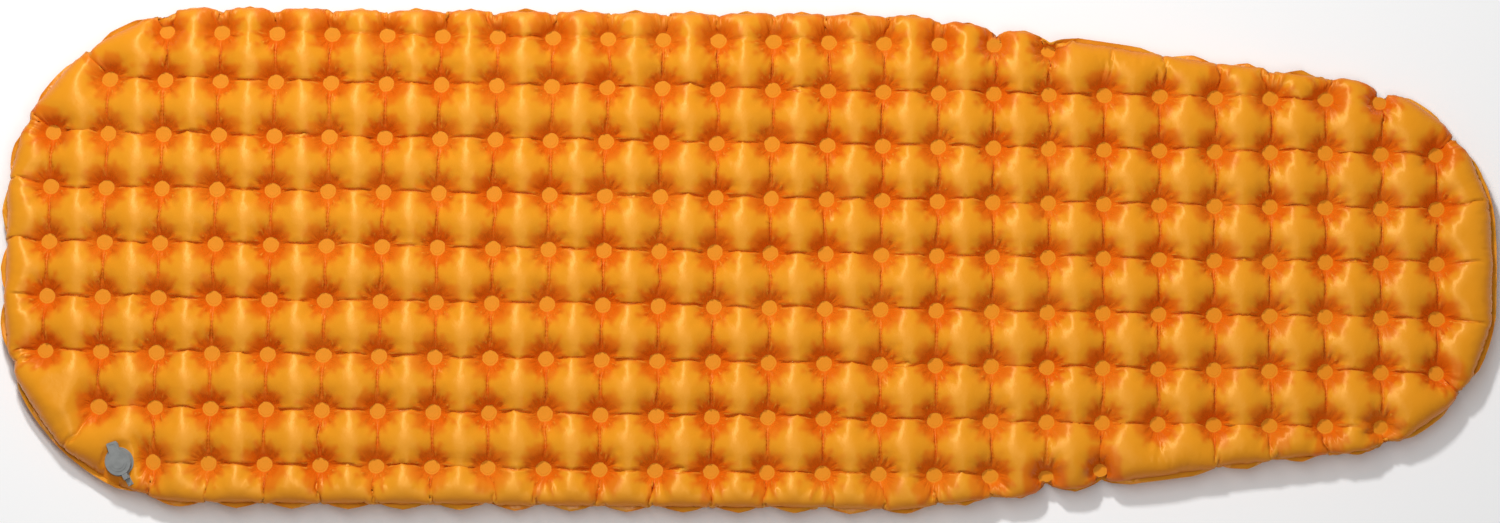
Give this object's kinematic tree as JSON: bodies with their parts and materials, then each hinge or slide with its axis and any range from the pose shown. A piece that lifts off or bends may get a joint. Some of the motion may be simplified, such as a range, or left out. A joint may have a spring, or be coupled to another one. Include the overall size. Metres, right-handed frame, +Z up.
{
  "type": "inflatable sleeping pad",
  "caption": "Mummy-cut air-cell sleeping pad: two sheets spot-welded in a lattice, with a flat tethered two-stage valve at a head corner.",
  "frame": {"origin": "on the ground under the middle of the inflated pad", "axes": "+X towards the foot end, +Z up; the valve is on the -Y side of the head end"},
  "size_m": [1.83, 0.614, 0.05],
  "materials": {
    "coated_fabric": "coated ripstop fabric, satin",
    "weld_film": "fused coating, satin",
    "valve_tpu": "moulded, satin",
    "seal_rubber": "moulded, matt",
    "clear_silicone": "translucent, satin"
  },
  "bodies": {
    "pad": {"top_sheet": "coated_fabric", "bottom_sheet": "coated_fabric", "spot_welds": "weld_film", "rim_weld": "weld_film", "valve_flange": "valve_tpu", "valve_body": "valve_tpu", "body_tether": "valve_tpu"},
    "plug": {"deflation_plug": "valve_tpu", "plug_seal": "seal_rubber", "plug_tether": "valve_tpu", "flap_seat": "clear_silicone"},
    "release": {"flap": "clear_silicone", "release_button": "clear_silicone"},
    "cap": {"inflation_cap": "valve_tpu", "cap_gasket": "seal_rubber", "cap_tether": "valve_tpu"}
  },
  "joints": [
    {"name": "plug_hinge", "type": "hinge", "parent": "pad", "child": "plug", "pos_m": [-0.75101, -0.28367, 0.03388], "axis": [0.8703, 0.4446, 0.212], "range_deg": [0, 100]},
    {"name": "cap_hinge", "type": "hinge", "parent": "plug", "child": "cap", "pos_m": [-0.7559, -0.27702, 0.04], "axis": [0.8703, 0.4446, 0.212], "range_deg": [0, 105]},
    {"name": "release_slide", "type": "slide", "parent": "plug", "child": "release", "axis": [0.1175, 0.2306, -0.9659], "range_m": [0, 0.002], "stiffness_N_per_m": 150}
  ]
}
